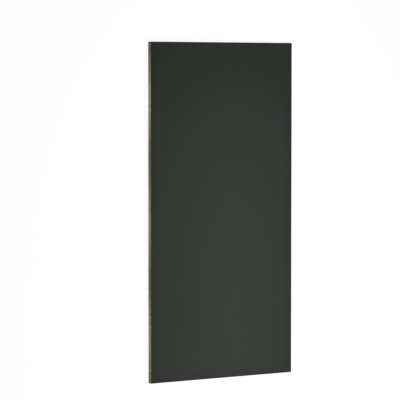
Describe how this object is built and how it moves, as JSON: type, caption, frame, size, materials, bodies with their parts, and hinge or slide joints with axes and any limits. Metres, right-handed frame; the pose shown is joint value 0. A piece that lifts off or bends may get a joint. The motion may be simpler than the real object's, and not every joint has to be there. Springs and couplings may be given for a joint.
{
  "type": "decorative laminate-faced board",
  "caption": "Full flat rectangular board: a plain charcoal matt laminate bonded on one face of a thick bare wood-based core, with square sawn edges.",
  "frame": {"origin": "middle of the board's underside, which is the bare back of the core", "axes": "+X across the width, +Y along the length, +Z out of the decor face"},
  "size_m": [1.2192, 2.4384, 0.0363],
  "materials": {
    "wood_core": "bare sawn wood core, dry and matt, with fine lines along the sheet",
    "charcoal_laminate": "plain charcoal laminate with a fine suede matt texture"
  },
  "bodies": {
    "root": {"core_board": "wood_core", "decor_laminate": "charcoal_laminate"}
  },
  "joints": []
}
